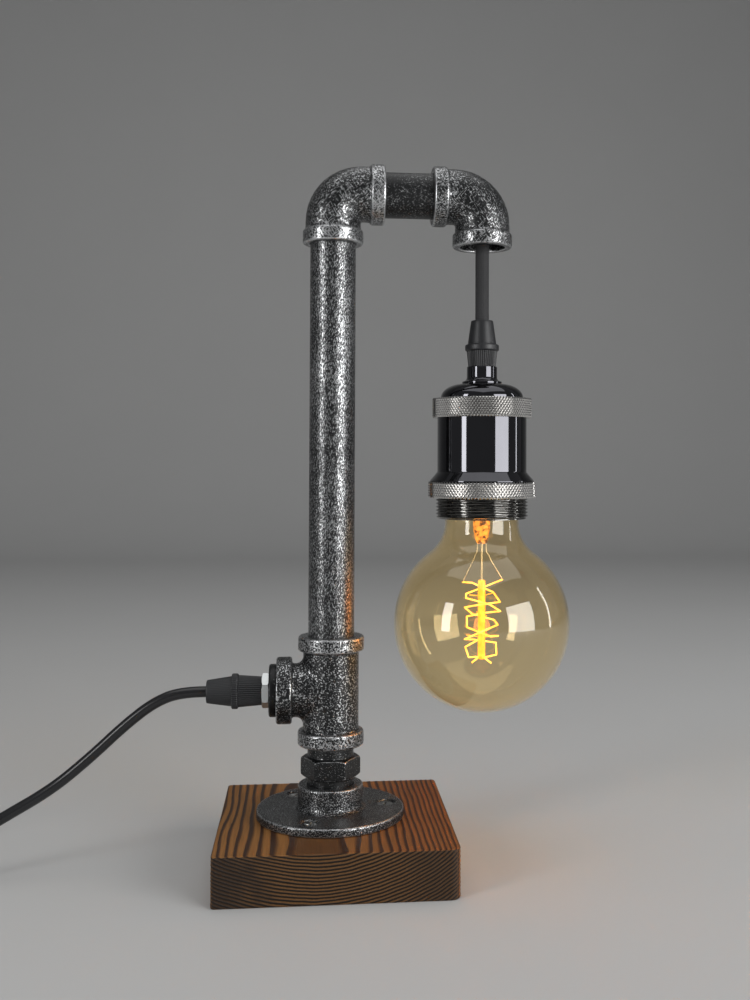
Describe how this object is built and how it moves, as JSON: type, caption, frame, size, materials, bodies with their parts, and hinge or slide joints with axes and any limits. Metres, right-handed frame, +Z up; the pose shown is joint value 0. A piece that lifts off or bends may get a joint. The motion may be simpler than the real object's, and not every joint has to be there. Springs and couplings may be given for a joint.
{
  "type": "table lamp",
  "caption": "Table lamp of threaded black pipe on a square timber block, with a swing arm, a pendant lamp holder on a short cord and a globe bulb.",
  "frame": {"origin": "on the riser's axis, at the level of the timber block's underside", "axes": "+Z up, +X along the arm from the riser to the pendant, so the mains lead leaves towards -X"},
  "size_m": [0.4597, 0.1199, 0.3235],
  "materials": {
    "stained_pine": "burnt and stained, oiled",
    "cast_fitting": "black with rubbed silver highlights",
    "rubbed_pipe": "black with silver rubbed along its length",
    "screw_steel": "dark",
    "zinc": "zinc plated",
    "grip_plastic": "satin black",
    "lead_pvc": "glossy black sheath",
    "connector_plastic": "natural",
    "braided_cord": "braided black textile",
    "switch_plastic": "satin black",
    "rocker_plastic": "gloss black",
    "tie_plastic": "matt black",
    "plug_plastic": "satin black",
    "pin_brass": "nickel plated",
    "black_nickel": "black nickel, mirror polished",
    "porcelain": "glazed white ceramic",
    "socket_brass": "plain",
    "amber_glass": "amber tinted, clear",
    "bulb_nickel": "nickel plated brass",
    "insulator_glass": "black vitrite",
    "solder": "soft solder",
    "stem_glass": "clear",
    "wire_nickel": "plain",
    "glowing_filament": "lit"
  },
  "bodies": {
    "base": {"wood_base": "stained_pine", "floor_flange": "cast_fitting", "flange_screws": "screw_steel", "hex_nipple": "cast_fitting", "tee": "cast_fitting", "tee_bush": "cast_fitting", "gland_stud": "zinc", "gland_nut": "zinc", "mains_grip_barrel": "grip_plastic", "mains_grip_cap": "grip_plastic", "mains_lead_inside": "lead_pvc", "connector_block": "connector_plastic", "riser_pipe": "rubbed_pipe", "riser_cord": "braided_cord", "mains_lead": "lead_pvc", "switch_base": "switch_plastic", "switch_cover": "switch_plastic", "switch_screws": "zinc", "switch_lead": "lead_pvc", "mains_lead_coil": "lead_pvc", "coil_tie": "tie_plastic", "plug_lead": "lead_pvc", "plug_body": "plug_plastic", "plug_pins": "pin_brass"},
    "arm": {"riser_elbow": "cast_fitting", "arm_nipple": "rubbed_pipe", "drop_elbow": "cast_fitting", "arm_cord": "braided_cord", "cord_bush": "grip_plastic"},
    "cord": {"drop_cord": "braided_cord"},
    "holder": {"pendant_grip_cap": "grip_plastic", "pendant_grip_barrel": "grip_plastic", "holder_collar": "black_nickel", "holder_cap": "black_nickel", "holder_nut": "zinc", "holder_shell": "black_nickel", "holder_insert": "porcelain", "socket_sleeve": "socket_brass", "socket_contact": "socket_brass", "holder_cord": "braided_cord"},
    "shade_ring": {"shade_ring": "black_nickel"},
    "bulb": {"bulb_glass": "amber_glass", "bulb_cap": "bulb_nickel", "bulb_insulator": "insulator_glass", "bulb_contact": "solder", "bulb_stem": "stem_glass", "lead_wires": "wire_nickel", "filament": "glowing_filament"},
    "rocker": {"switch_rocker": "rocker_plastic"}
  },
  "joints": [
    {"name": "arm_swivel", "type": "hinge", "parent": "base", "child": "arm", "pos_m": [0, 0, 0.2964], "axis": [0, 0, 1], "range_deg": [-90, 90]},
    {"name": "cord_swing", "type": "hinge", "parent": "arm", "child": "cord", "pos_m": [0.07044, 0, 0.2901], "axis": [0, 1, 0], "range_deg": [-40, 4]},
    {"name": "holder_swing", "type": "hinge", "parent": "cord", "child": "holder", "pos_m": [0.07044, 0, 0.2546], "axis": [1, 0, 0], "range_deg": [-35, 35]},
    {"name": "bulb_unscrew", "type": "slide", "parent": "holder", "child": "bulb", "axis": [0, 0, -1], "range_m": [0, 0.035]},
    {"name": "shade_ring_travel", "type": "slide", "parent": "holder", "child": "shade_ring", "axis": [0, 0, -1], "range_m": [0, 0.008]},
    {"name": "switch_rock", "type": "hinge", "parent": "base", "child": "rocker", "pos_m": [-0.234, -0.028, 0.0171], "axis": [0, 1, 0], "range_deg": [-14, 0]}
  ]
}
